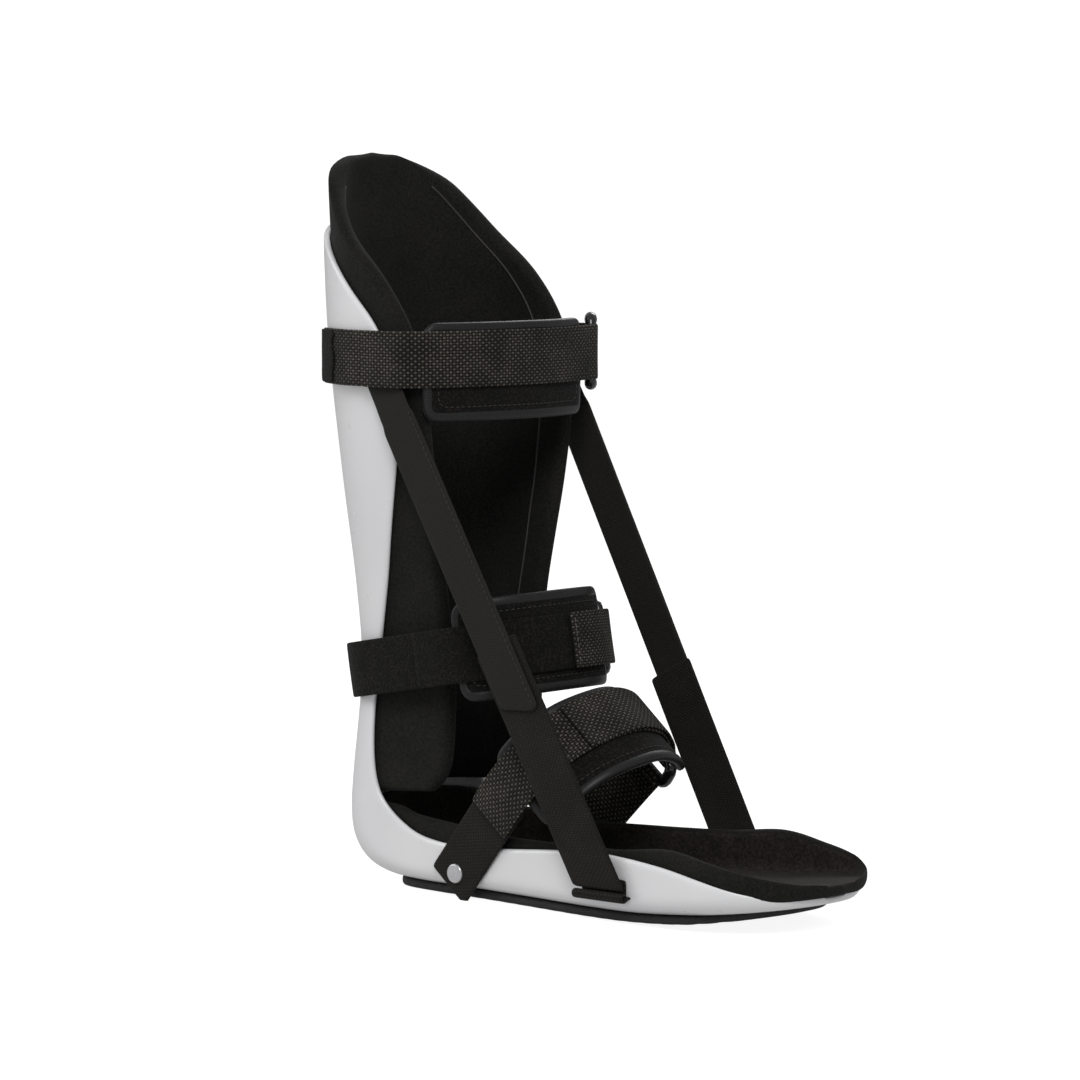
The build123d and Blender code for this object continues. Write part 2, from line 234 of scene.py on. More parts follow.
def tube_faces(count, sides, cyclic):
    """Faces of a tube of so many rings of points, each with so many sides."""
    faces = []
    for k in range(count if cyclic else count - 1):
        for s in range(sides):
            a, b = k * sides + s, k * sides + (s + 1) % sides
            c, d = ((k + 1) % count) * sides + (s + 1) % sides, ((k + 1) % count) * sides + s
            faces.append((a, b, c, d))
    return faces


def finish_piece(obj, material, body, nodes=()):
    obj.data.materials.append(material)
    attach(obj, body)
    if nodes:
        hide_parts(*nodes)
    return obj


# ---------------------------------------------------------------- materials
class Shader:
    """A few short ways to add nodes to one material."""

    def __init__(self, name, color, roughness, **values):
        self.material = bpy.data.materials.new(name)
        self.material.use_nodes = True
        self.tree = self.material.node_tree
        self.surface = self.tree.nodes["Principled BSDF"]
        self.surface.inputs["Base Color"].default_value = (*color, 1)
        self.surface.inputs["Roughness"].default_value = roughness
        for key, value in values.items():
            self.surface.inputs[key.replace("_", " ")].default_value = value
        self.material.diffuse_color = (*color, 1)

    def node(self, kind, **values):
        made = self.tree.nodes.new(kind)
        for key, value in values.items():
            setattr(made, key, value)
        return made

    def link(self, out, into):
        self.tree.links.new(out, into)

    def coordinate(self, name):
        return self.node("ShaderNodeTexCoord").outputs[name]

    def math(self, operation, a, b=None):
        made = self.node("ShaderNodeMath", operation=operation)
        for socket, value in zip(made.inputs, (a, b)):
            if value is None:
                continue
            if isinstance(value, (int, float)):
                socket.default_value = value
            else:
                self.link(value, socket)
        return made.outputs[0]

    def noise(self, scale, detail=3.0, rough=0.6):
        made = self.node("ShaderNodeTexNoise")
        made.inputs["Scale"].default_value = scale
        made.inputs["Detail"].default_value = detail
        made.inputs["Roughness"].default_value = rough
        self.link(self.coordinate("Object"), made.inputs["Vector"])
        return made.outputs[0]

    def ramp(self, factor, stops):
        made = self.node("ShaderNodeValToRGB")
        elements = made.color_ramp.elements
        while len(elements) < len(stops):
            elements.new(0.5)
        for element, (position, color) in zip(elements, stops):
            element.position = position
            element.color = (*color, 1)
        self.link(factor, made.inputs[0])
        return made.outputs[0]

    def color(self, factor, stops):
        self.link(self.ramp(factor, stops), self.surface.inputs["Base Color"])

    def rough(self, factor, low, high):
        made = self.node("ShaderNodeMapRange")
        made.inputs["To Min"].default_value = low
        made.inputs["To Max"].default_value = high
        self.link(factor, made.inputs["Value"])
        self.link(made.outputs[0], self.surface.inputs["Roughness"])

    def bump(self, height, distance, strength=1.0):
        made = self.node("ShaderNodeBump")
        made.inputs["Distance"].default_value = distance
        made.inputs["Strength"].default_value = strength
        self.link(height, made.inputs["Height"])
        self.link(made.outputs[0], self.surface.inputs["Normal"])


def shell_plastic():
    s = Shader("shell_plastic", (0.87, 0.87, 0.885), 0.28, Coat_Weight=0.35, Coat_Roughness=0.12)
    broad = s.noise(14, 2)
    s.color(broad, [(0.3, (0.85, 0.85, 0.87)), (0.7, (0.89, 0.89, 0.90))])
    s.rough(s.noise(60, 4), 0.22, 0.38)
    s.bump(s.noise(900, 2), 0.00004, 0.25)
    return s.material


def foam_cloth(name, dark, light, grain):
    """Cloth-faced foam: a fine fuzzy knit."""
    s = Shader(name, dark, 0.9, Sheen_Weight=0.03, Sheen_Roughness=0.5, Specular_IOR_Level=0.2)
    knit = s.noise(grain, 4, 0.75)
    patch = s.noise(38, 3)
    mixed = s.math("ADD", s.math("MULTIPLY", knit, 0.75), s.math("MULTIPLY", patch, 0.25))
    s.color(mixed, [(0.40, dark), (0.66, light)])
    s.rough(patch, 0.82, 0.97)
    s.bump(knit, 0.0004, 0.55)
    return s.material


def woven(name, dark, light, pitch_along, pitch_across, depth):
    """Coarse plain weave that follows the strap: crossing yarns in small cells. Its colour, dark in the gaps
    and light on the yarn tops, is partly the yarn's own colour and partly painted shade and painted
    highlight.
    """
    s = Shader(name, dark, 0.75, Sheen_Weight=0.02, Specular_IOR_Level=0.25)
    split = s.node("ShaderNodeSeparateXYZ")
    s.link(s.coordinate("UV"), split.inputs[0])
    wobble = s.math("MULTIPLY", s.math("SUBTRACT", s.noise(500, 2), 0.5), 1.6)
    along = s.math("ADD", s.math("MULTIPLY", split.outputs[0], math.pi / pitch_along), wobble)
    across = s.math("ADD", s.math("MULTIPLY", split.outputs[1], math.pi / pitch_across), wobble)
    weft = s.math("SINE", along)
    warp = s.math("SINE", across)
    cell = s.math("MULTIPLY", weft, warp)
    yarn = s.math("POWER", s.math("ABSOLUTE", cell), 0.6)
    fibre = s.noise(2600, 3, 0.7)
    worn = s.math("ADD", s.math("MULTIPLY", s.noise(55, 4, 0.7), 1.3), 0.2)
    # Lighter yarn tops and darker gaps between cells: partly the yarn's own colour, partly painted highlight
    # and painted shade.
    yarn_tone_and_highlight = s.math("MULTIPLY", s.math("MULTIPLY", yarn, worn), s.math("ADD", fibre, 0.15))
    weave_tone_shade_and_highlight = s.math("ADD", s.math("MULTIPLY", cell, 0.18), yarn_tone_and_highlight)
    s.color(weave_tone_shade_and_highlight, [(0.28, dark), (0.80, light)])
    s.rough(fibre, 0.6, 0.9)
    s.bump(s.math("ADD", yarn, s.math("MULTIPLY", fibre, 0.3)), depth, 0.9)
    return s.material


def ribbed(name, dark, light, pitch, depth, roughness):
    """Smooth tape with a faint rib across it."""
    s = Shader(name, dark, roughness, Sheen_Weight=0.02, Specular_IOR_Level=0.3)
    split = s.node("ShaderNodeSeparateXYZ")
    s.link(s.coordinate("UV"), split.inputs[0])
    rib = s.math("SINE", s.math("MULTIPLY", split.outputs[0], 2 * math.pi / pitch))
    rib = s.math("ADD", s.math("MULTIPLY", rib, 0.5), 0.5)
    fleck = s.noise(1500, 3, 0.8)
    mixed = s.math("ADD", s.math("MULTIPLY", rib, 0.25), s.math("MULTIPLY", fleck, 0.75))
    s.color(mixed, [(0.36, dark), (0.72, light)])
    s.rough(fleck, roughness - 0.1, roughness + 0.1)
    s.bump(mixed, depth, 0.7)
    return s.material


def loop_pile(name, dark, light):
    """Brushed hook-and-loop pile: dark tufts with lighter flecks of fibre."""
    s = Shader(name, dark, 0.95, Sheen_Weight=0.04, Sheen_Roughness=0.45, Specular_IOR_Level=0.2)
    tuft = s.node("ShaderNodeTexVoronoi")
    tuft.inputs["Scale"].default_value = 850
    s.link(s.coordinate("Object"), tuft.inputs["Vector"])
    fibre = s.noise(1300, 5, 0.8)
    patch = s.noise(70, 3)
    pile = s.math("MULTIPLY", s.math("SUBTRACT", 1.0, tuft.outputs["Distance"]), fibre)
    mixed = s.math("ADD", s.math("MULTIPLY", pile, 0.8), s.math("MULTIPLY", patch, 0.2))
    s.color(mixed, [(0.30, dark), (0.62, light)])
    s.bump(pile, 0.0007, 0.8)
    return s.material


def plain(name, color, roughness, grain, depth, spread=0.25, **values):
    s = Shader(name, color, roughness, **values)
    speck = s.noise(grain, 3)
    low = tuple(c * (1 - spread) for c in color)
    high = tuple(min(c * (1 + spread), 1) for c in color)
    s.color(speck, [(0.35, low), (0.65, high)])
    s.rough(s.noise(grain / 6, 3), roughness * 0.8, min(roughness * 1.2, 1))
    s.bump(speck, depth, 0.5)
    return s.material


SHELL = shell_plastic()
FOAM = foam_cloth("liner_foam", (0.004, 0.004, 0.0038), (0.019, 0.018, 0.016), 900)
INSOLE = foam_cloth("insole_cloth", (0.007, 0.006, 0.005), (0.040, 0.033, 0.028), 700)
WEBBING = woven("coarse_webbing", (0.004, 0.0037, 0.0033), (0.150, 0.130, 0.108), 0.0017, 0.0013, 0.0006)
LOWER_WEBBING = woven("lower_webbing", (0.005, 0.0042, 0.0035), (0.036, 0.030, 0.024), 0.0011, 0.0010, 0.0003)
SMOOTH_TAPE = ribbed("smooth_tape", (0.004, 0.0037, 0.0034), (0.021, 0.019, 0.016), 0.0011, 0.00018, 0.75)
BINDING = ribbed("satin_binding", (0.007, 0.007, 0.0075), (0.024, 0.0235, 0.025), 0.0009, 0.0001, 0.42)
PILE = loop_pile("loop_pile", (0.004, 0.0036, 0.0032), (0.032, 0.027, 0.023))
RING = plain("ring_plastic", (0.012, 0.012, 0.013), 0.22, 300, 0.00003, 0.15, Coat_Weight=0.4)
RUBBER = plain("sole_rubber", (0.014, 0.014, 0.014), 0.7, 500, 0.0002)
METAL = plain("rivet_metal", (0.72, 0.72, 0.74), 0.34, 260, 0.00004, 0.06, Metallic=0.85)
THREAD = plain("thread", (0.028, 0.026, 0.024), 0.6, 1500, 0.0001)
PALE_THREAD = plain("pale_thread", (0.10, 0.09, 0.08), 0.6, 1500, 0.0001)


# ---------------------------------------------------------------- shell and liners
def stations():
    """Sections along the L, three times closer together where the toe is rounded off."""
    fine = smooth_path(SPINE, 1.2)
    return [row for k, row in enumerate(fine) if k % 3 == 0 or (row[0] > 205 and row[1] < 40)]


def waves(points, size, scale, shift=0.0):
    """Small smooth unevenness for each point, in millimetres."""
    flat = points.reshape(-1, 3)
    moved = [noise.noise_vector(Vector(p) / scale + Vector((shift, shift, shift))) for p in flat]
    return points + np.array(moved).reshape(points.shape) * size


def half_profile(side, corner, reach, count):
    """Half of a U section from its middle to its tip, cut at a depth, in even steps."""
    turn = np.radians(np.linspace(0, 90, 19))
    arc = np.stack([side - corner + corner * np.sin(turn), corner - corner * np.cos(turn)], 1)
    line = np.vstack([[0, 0], arc, [side, max(reach, corner) + 0.01]])
    run = []
    for a, b in zip(line[:-1], line[1:]):
        if b[1] <= reach:
            run.append(b)
            continue
        if b[1] - a[1] > 1e-9:
            run.append(a + (b - a) * max(reach - a[1], 0) / (b[1] - a[1]))
        break
    return even(np.vstack([[[0, 0]], run]) if run else np.array([[0, 0], [side - corner, 0]]), count=count)


def arch(top, drop, half_length, tip=3.0):
    """Half length of a piece's rounded top edge, measured round the back, at each height."""
    def limit(z):
        share = (top - z) / drop
        return FREE if share > 1.6 else tip + half_length * math.sqrt(max(share, 0.0))
    return limit


def boot_grid(inset, wall, trim, keep, plan_limit, columns, wall_at=None, top_limit=None):
    """Outer and inner grids of a piece of the L, cut along its trim line."""
    trim = smooth_path(trim, 2.0)
    outer, inner = [], []
    for x, z, angle, half_width, radius in stations():
        direction = np.array([math.cos(math.radians(angle)), math.sin(math.radians(angle))])
        base = np.array([x, z])
        if not keep(x, z):
            continue
        thick = wall_at(x) if wall_at and z < 40 else wall
        reach = ray_reach(base + direction * inset, direction, trim)
        if reach is None:
            continue
        for depth, rows in ((inset, outer), (inset + thick, inner)):
            start = base + direction * depth
            left = max(reach - (depth - inset), 0.6)
            side = max(min(half_width - depth, plan_limit(x, z) - (depth - inset) * 0.4), 1.5)
            corner = max(min(radius - depth, side * 0.85), min(3.0, side * 0.8))
            half = half_profile(side, corner, left, columns)
            if top_limit and z > 250:
                span = np.linalg.norm(np.diff(half, axis=0), axis=1).sum()
                share = min(top_limit(z) / span, 1.0)
                fine = even(half, count=400)
                half = even(fine[:max(int(400 * share), 4)], count=columns)
            both = np.vstack([half[::-1] * [-1, 1], half[1:]])
            rows.append([(start[0] + d * direction[0], y, start[1] + d * direction[1]) for y, d in both])
    return np.array(outer), np.array(inner)


def toe_limit(start, tip, half_width, power=2.3):
    """Half width of a rounded toe seen from above."""
    def limit(x, z):
        if z > 40 or x < start:
            return FREE
        share = min((x - start) / (tip - start), 1.0)
        return half_width * max(1 - share ** power, 0.0) ** (1 / power)
    return limit


def make_shell():
    outer, inner = boot_grid(0, SHELL_WALL, SHELL_TRIM, lambda x, z: z < 310.5 and x < 228.5,
                             toe_limit(180, 229, 48), 26, None, arch(310.6, 8, 40))
    return finish_piece(sheet_object("rigid_shell_mesh", outer, inner, 0.9), SHELL, "root",
                        ("rigid_shell",))


def tube(name, points, radius, sides=8, cyclic=False):
    """Round cord through points in millimetres."""
    points = np.asarray(points, float)
    verts = []
    count = len(points)
    radius = np.broadcast_to(radius, count)
    side = np.array([0.13, 0.71, 0.69])
    for k in range(count):
        ahead = points[(k + 1) % count] if cyclic else points[min(k + 1, count - 1)]
        behind = points[k - 1] if cyclic else points[max(k - 1, 0)]
        along = (ahead - behind) / np.linalg.norm(ahead - behind)
        side = side - along * (side @ along)
        side /= np.linalg.norm(side)
        other = np.cross(along, side)
        for s in range(sides):
            turn = 2 * math.pi * s / sides
            verts.append(points[k] + radius[k] * (math.cos(turn) * side + math.sin(turn) * other))
    faces = tube_faces(count, sides, cyclic)
    if not cyclic:
        faces.append(tuple(range(sides))[::-1])
        faces.append(tuple(range((count - 1) * sides, count * sides)))
    obj = add_object(name, verts, faces)
    fix_normals(obj)
    return obj


def liner_seams(name, inner, end_rows, rim_columns):
    """Sewn line that runs beside each rim of a liner, on its inner face."""
    for side, column in (("near", rim_columns), ("far", inner.shape[1] - 1 - rim_columns)):
        line = inner[end_rows:-end_rows, column]
        seam = tube(f"{name}_{side}_seam", even(line, 2.5), SEAM_RADIUS, 6)
        finish_piece(seam, THREAD, "root")


def make_calf_liner():
    outer, inner = boot_grid(LINER_INSET, LINER_WALL, CALF_LINER_TRIM, lambda x, z: 42.5 < z < 339,
                             lambda x, z: FREE, 22, None, arch(339.2, 12, 42))
    inner = waves(inner, 0.9, 34)
    calf = sheet_object("calf_liner_mesh", outer, inner, 2.6)
    finish_piece(calf, FOAM, "root", ("calf_liner",))
    liner_seams("calf_liner", inner, 4, 3)


def make_foot_liner():
    """Heel cup and insole in one piece, thinner towards the toes, with a browner upper face."""
    outer, inner = boot_grid(LINER_INSET, LINER_WALL, FOOT_LINER_TRIM, lambda x, z: z < 40.5 and x < 232.5,
                             toe_limit(176, 233, 47.0), 20,
                             lambda x: float(np.interp(x, [-60, 150, 215, 240], [7.6, 7.2, 5.2, 4.6])))
    inner = waves(inner, 0.5, 26, 3.0)
    foot = sheet_object("foot_liner_mesh", outer, inner, 2.2)
    finish_piece(foot, FOAM, "root", ("foot_liner",))
    foot.data.materials.append(INSOLE)
    total = (outer.shape[0] - 1) * (outer.shape[1] - 1) * 2
    for polygon in foot.data.polygons:
        if polygon.index < total and polygon.index % 2 == 1:
            polygon.material_index = 1


def make_outsole():
    """Rubber sole with shallow bars across its underside, thinner towards the toes."""
    plan = smooth_path([(-16, 0), (-12, 17), (0, 28.5), (25, 32), (55, 34), (90, 37), (124, 40), (157, 42),
                        (180, 40.5), (198, 32), (209, 17), (213, 0)], 1.0)
    rise = smooth_path([(-20, 0), (60, 0), (120, 0), (150, 0.8), (180, 3.0), (210, 6.5), (230, 9.0)], 3.0)
    top, bottom = [], []
    heel, tip = [-15.7, -14.8, -13], [207.5, 209.5, 211.3, 212.6]
    for x in np.concatenate([heel, np.arange(-10.5, 206, 2.5), tip]):
        half = max(float(np.interp(x, plan[:, 0], plan[:, 1])), 1.0)
        base = float(np.interp(x, rise[:, 0], rise[:, 1]))
        thinned = SOLE_THICKNESS * float(np.interp(x, [175, 214], [0.0, 0.28]))
        groove = 0.7 if (x % 10) < 3.0 and 4 < x < 205 else 0.0
        across = np.linspace(-half, half, 17)
        bottom.append([(x, y, base + thinned + (groove if abs(y) < half - 4 else 0)) for y in across])
        top.append([(x, y, base + SOLE_THICKNESS) for y in across])
    sole = sheet_object("outsole_mesh", np.array(bottom), np.array(top), 0.5)
    finish_piece(sole, RUBBER, "root", ("outsole",))


# ---------------------------------------------------------------- straps
class Band:
    """A strap's route in its own plane. Places are given along it, across it and outward from it."""

    def __init__(self, origin, tilt, points, dense=None):
        turn = math.radians(tilt)
        self.origin = np.array(origin, float)
        self.ahead = np.array([math.cos(turn), 0, math.sin(turn)])
        self.wide = np.array([-math.sin(turn), 0, math.cos(turn)])
        self.points = smooth_path(points, 0.8) if dense is None else np.array(dense, float)
        step = np.gradient(self.points, axis=0)
        step /= np.linalg.norm(step, axis=1)[:, None]
        self.normals = np.stack([step[:, 1], -step[:, 0]], 1)
        gaps = np.linalg.norm(np.diff(self.points, axis=0), axis=1)
        self.run = np.concatenate([[0], np.cumsum(gaps)])
        self.length = self.run[-1]

    def place(self, u, v, h):
        p = np.array([np.interp(u, self.run, self.points[:, k]) for k in (0, 1)])
        n = np.array([np.interp(u, self.run, self.normals[:, k]) for k in (0, 1)])
        n /= np.linalg.norm(n)
        q = p + n * h
        return self.origin + self.ahead * q[0] + np.array([0, 1, 0]) * q[1] + self.wide * v

    def outward(self, u):
        return self.place(u, 0, 1) - self.place(u, 0, 0)

    def along(self, u):
        d = self.place(min(u + 0.5, self.length), 0, 0) - self.place(max(u - 0.5, 0), 0, 0)
        return d / np.linalg.norm(d)


def wrap(points, centre, start, sweep):
    """A route that goes on round a ring's bar, from a start angle in degrees."""
    turns = np.radians(start + np.linspace(0, sweep, 22))
    circle = [(centre[0] + LOOP_RADIUS * math.cos(a), centre[1] + LOOP_RADIUS * math.sin(a)) for a in turns]
    lead = smooth_path(list(points) + [circle[0]], 0.8)
    return np.vstack([lead[:-1], circle])


def strap_grid(band, start, stop, width, thickness, height, slant=None, ripple=0.15):
    """Both faces of a strap along its band, with ends cut by the slant functions, and a little rippled."""
    count = max(int((stop - start) / 2.6), 4)
    outer, inner = [], []
    across = np.sin(np.linspace(-math.pi / 2, math.pi / 2, STRAP_COLUMNS)) * width / 2
    across = 0.6 * across + 0.4 * np.linspace(-width / 2, width / 2, STRAP_COLUMNS)
    for share in np.linspace(0, 1, count):
        top, low = [], []
        for v in across:
            first = start + (slant[0](v) if slant else 0)
            last = stop + (slant[1](v) if slant else 0)
            u = first + (last - first) * share
            wave = ripple * math.sin(u / 9.0) * math.cos(v / 7.0)
            top.append(band.place(u, v, height + thickness / 2 + wave))
            low.append(band.place(u, v, height - thickness / 2 + wave))
        outer.append(top)
        inner.append(low)
    return np.array(outer), np.array(inner)


def strap(name, band, start, stop, material, slot, body, nodes=(), width=WEBBING_WIDTH,
          thickness=WEBBING_THICKNESS, height=0.0, **more):
    outer, inner = strap_grid(band, start, stop, width, thickness, height, **more)
    obj = sheet_object(name, outer, inner, thickness * 0.28)
    return finish_piece(obj, material, body, nodes)


def stitch_row(name, places, size, material, body):
    """A row of short threads. Each place is (centre, direction along, direction outward)."""
    verts, faces = [], []
    length, girth = size
    for centre, along, out in places:
        side = np.cross(along, out)
        first = len(verts)
        for share, swell in ((-0.5, 0.35), (-0.3, 1.0), (0.3, 1.0), (0.5, 0.35)):
            sink = 0.35 if abs(share) == 0.5 else 0.0
            for turn in range(6):
                a = turn * math.pi / 3
                verts.append(centre + along * length * share - out * girth * sink
                             + (math.cos(a) * side + math.sin(a) * out) * girth / 2 * swell)
        for ring in range(3):
            for turn in range(6):
                a, b = first + ring * 6 + turn, first + ring * 6 + (turn + 1) % 6
                faces.append((a, b, b + 6, a + 6))
        faces.append(tuple(first + t for t in range(6))[::-1])
        faces.append(tuple(first + 18 + t for t in range(6)))
    obj = add_object(name, verts, faces)
    fix_normals(obj)
    return finish_piece(obj, material, body)


def stitch_line(band, points, height, pitch=3.0):
    """Places for a row of stitches through (along, across) points of a band."""
    line = even(np.array(points, float), pitch)
    found = []
    for a, b in zip(line[:-1], line[1:]):
        pa, pb = band.place(*a, height), band.place(*b, height)
        middle = (a + b) / 2
        along = (pb - pa) / np.linalg.norm(pb - pa)
        found.append((band.place(*middle, height), along, band.outward(middle[0])))
    return found


def box_stitch(name, band, start, stop, width, height, body):
    """The sewn and crossed box that holds a strap's end."""
    half = width / 2 - 3
    places = stitch_line(band, [(start, -half), (stop, -half)], height)
    places += stitch_line(band, [(start, half), (stop, half)], height)
    places += stitch_line(band, [(start, -half), (start, half)], height)
    places += stitch_line(band, [(stop, -half), (stop, half)], height)
    places += stitch_line(band, [(start, -half), (stop, half)], height)
    places += stitch_line(band, [(start, half), (stop, -half)], height)
    return stitch_row(name, places, (2.1, 0.55), THREAD, body)


class Cuff:
    """Padded cuff: crowned foam in loop cloth, with satin tape bound round its rim."""

    def __init__(self, band, start, stop, width, shift):
        self.band, self.start, self.stop, self.shift = band, start, stop, shift
        self.half = width / 2

    def edge(self, u):
        """Half width at a place along the cuff, with round corners."""
        gap = min(u - self.start, self.stop - u)
        if gap >= CUFF_CORNER:
            return self.half
        return self.half - CUFF_CORNER + math.sqrt(max(CUFF_CORNER ** 2 - (CUFF_CORNER - gap) ** 2, 0))

    def level(self, u, v, face):
        """Height of the outer (1) or inner (-1) face: crowned, with a rim that flares outward."""
        across = abs(v) / self.half
        ends = min(min(u - self.start, self.stop - u) / 9.0, 1.0)
        crown = (1 - across ** 4 * 0.42) * (0.66 + 0.34 * math.sqrt(max(ends, 0)))
        lift = CUFF_FLARE * across ** 3 + 0.35 * math.sin(u / 7.5) * math.cos(v / 8.0)
        return PAD_TOP - PAD_THICKNESS / 2 + lift + face * PAD_THICKNESS / 2 * crown

    def body(self):
        outer, inner = [], []
        rows = int((self.stop - self.start) / 2.4)
        shares = 0.5 - 0.5 * np.cos(np.linspace(0.12, math.pi - 0.12, rows))
        for u in self.start + (self.stop - self.start) * shares:
            across = np.linspace(-1, 1, 15) * self.edge(u)
            outer.append([self.band.place(u, v + self.shift, self.level(u, v, 1)) for v in across])
            inner.append([self.band.place(u, v + self.shift, self.level(u, v, -1)) for v in across])
        return np.array(outer), np.array(inner)

    def outline(self):
        """The line that the binding follows, a little inside the rim."""
        half = self.half
        reach = CUFF_CORNER - 1.4
        line = []
        corners = ((self.stop, half, 90), (self.stop, -half, 0), (self.start, -half, -90),
                   (self.start, half, -180))
        for cu, cv, first in corners:
            middle_u = cu + (-CUFF_CORNER if cu == self.stop else CUFF_CORNER)
            middle_v = cv + (-CUFF_CORNER if cv > 0 else CUFF_CORNER)
            for turn in np.radians(first - np.linspace(0, 90, 7)):
                line.append((middle_u + reach * math.cos(turn), middle_v + reach * math.sin(turn)))
        line.append(line[0])
        return even(np.array(line), 2.2)[:-1]

    def binding(self, outline, sides=12):
        """Points of the tape round the rim: a flattened tube as thick as the foam beside it."""
        verts = []
        for k, (u, v) in enumerate(outline):
            ahead, behind = outline[(k + 1) % len(outline)], outline[k - 1]
            top, low = self.level(u, v, 1), self.level(u, v, -1)
            here = self.band.place(u, v + self.shift, (top + low) / 2)
            along = (self.band.place(ahead[0], ahead[1] + self.shift, PAD_TOP)
                     - self.band.place(behind[0], behind[1] + self.shift, PAD_TOP))
            out = self.band.outward(u)
            side = np.cross(along / np.linalg.norm(along), out)
            for turn in np.arange(sides) * 2 * math.pi / sides:
                ca, sa = math.cos(turn), math.sin(turn)
                verts.append(here + side * BINDING_REACH * math.copysign(abs(ca) ** 0.7, ca)
                             + out * ((top - low) / 2 + 0.55) * math.copysign(abs(sa) ** 0.7, sa))
        uv = [(k * 2.2, s * 1.2) for k in range(len(outline)) for s in range(sides)]
        return verts, tube_faces(len(outline), sides, True), uv

    def stitches(self, outline):
        """Places for the row of stitches just inside the binding."""
        shrink_u = 1 - 2 * CUFF_STITCH_INSET / (self.stop - self.start)
        shrink_v = 1 - 4.6 / self.half
        closed = np.vstack([outline, outline[:1]])
        first = self.start + CUFF_STITCH_INSET
        row = even(np.array([(first + (u - self.start) * shrink_u, v * shrink_v) for u, v in closed]), 2.9)
        places = []
        for a, b in zip(row[:-1], row[1:]):
            u, v = (a + b) / 2
            pa, pb = (self.band.place(q[0], q[1] + self.shift, self.level(q[0], q[1], 1)) for q in (a, b))
            middle = self.band.place(u, v + self.shift, self.level(u, v, 1) + 0.15)
            places.append((middle, (pb - pa) / np.linalg.norm(pb - pa), self.band.outward(u)))
        return places


def make_cuff(name, band, start, stop, width, shift, body, node):
    shape = Cuff(band, start, stop, width, shift)
    cuff = sheet_object(name, *shape.body(), 0.8)
    finish_piece(cuff, PILE, body, (node,))
    outline = shape.outline()
    tape = add_object(name + "_binding", *shape.binding(outline))
    fix_normals(tape)
    subdivide(tape)
    finish_piece(tape, BINDING, body)
    stitch_row(name + "_stitches", shape.stitches(outline), (2.0, 0.5), THREAD, body)


# ---------------------------------------------------------------- closures
# Each closing band's plane: a point of it in millimetres, and its tilt in degrees.
CALF = ((0, 0, 247.0), 0)
ANKLE = ((0, 0, 104.7), 10)
INSTEP = ((41.5, 0, 12.0), 50)
OUTSIDE = WEBBING_THICKNESS + LAYER_GAP


def ring_bars(front, angle):
    a = math.radians(angle)
    return front, (front[0] + BAR_SPACING * math.cos(a), front[1] + BAR_SPACING * math.sin(a))


def make_ring(name, plane, front, rear):
    """Moulded loop: two round bars that run into thicker rounded ends."""
    band = Band(*plane, [front, rear, (2 * rear[0] - front[0], 2 * rear[1] - front[1])])
    half_long, half_wide, corner = BAR_SPACING / 2, RING_HALF_WIDTH, RING_CORNER
    path = []
    for su, sv, first in ((1, 1, 90), (1, -1, 0), (-1, -1, -90), (-1, 1, 180)):
        for turn in np.radians(first - np.linspace(0, 90, 8)):
            path.append((half_long + su * (half_long - corner) + corner * math.cos(turn),
                         sv * (half_wide - corner) + corner * math.sin(turn)))
    path = even(np.array(path + path[:1]), 1.6)[:-1]
    radii = np.interp(np.abs(path[:, 1]), [12.6, 14.2], [BAR_RADIUS, RING_END_RADIUS])
    places = [band.place(u, v, 0) for u, v in path]
    ring = tube(name + "_loop", places, radii, 14, cyclic=True)
    finish_piece(ring, RING, name, (name,))


def polish(nodes, material):
    """A CAD node whose shape is right keeps it, and gets a better surface."""
    for node in nodes:
        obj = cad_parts[node]
        obj.data.materials.clear()
        obj.data.materials.append(material)


def make_calf_closure():
    front_bar, rear_bar = ring_bars((41.3, 54.4), 131.7)
    make_ring("calf_ring", CALF, front_bar, rear_bar)
    front = [(6, -64.8), (18, -64.5), (29, -62.2), (39, -51.5), (47, -28), (51.5, 0), (50.8, 20), (47.6, 38)]
    band = Band(*CALF, None, wrap(front, front_bar, 0, LOOP_SWEEP))
    strap("calf_front_webbing", band, 0, band.length, WEBBING, "webbing", "calf_closure",
          ("calf_front_strap",))
    box_stitch("calf_front_stitches", band, band.length - 42, band.length - 22, WEBBING_WIDTH, 0.95,
               "calf_closure")
    route = [(33, -58.5), (39, -51.5), (47, -28), (51.5, 0), (50.8, 20), (47.6, 38), (43.8, 47)]
    pad_band = Band(*CALF, route)
    make_cuff("calf_cuff", pad_band, 5.0, pad_band.length - 3.5, 43.0, -6.0, "calf_closure", "calf_pad")
    back = Band(*CALF, [(-30.5, -50.2), (-27, -52.9), (-14, -59.4), (-2, -62.2), (18, -62.2)])
    strap("calf_back_webbing", back, 0, back.length, WEBBING, "webbing", "root", ("calf_back_strap",))
    strap("calf_hook_patch", back, 0.5, 17, PILE, "loop_strap", "root", width=24, thickness=1.2, height=1.2,
          slant=(lambda v: 1.2 * math.sin(v * 0.9), lambda v: 1.6 * math.sin(v * 1.3 + 1)), ripple=0.3)
    keeper = Band(*CALF, None, wrap([(-2, 62.6), (12, 62.6), (24, 63.4)], rear_bar, 90, -LOOP_SWEEP))
    strap("calf_keeper_webbing", keeper, 0, keeper.length, WEBBING, "webbing", "root", ("calf_ring_keeper",))


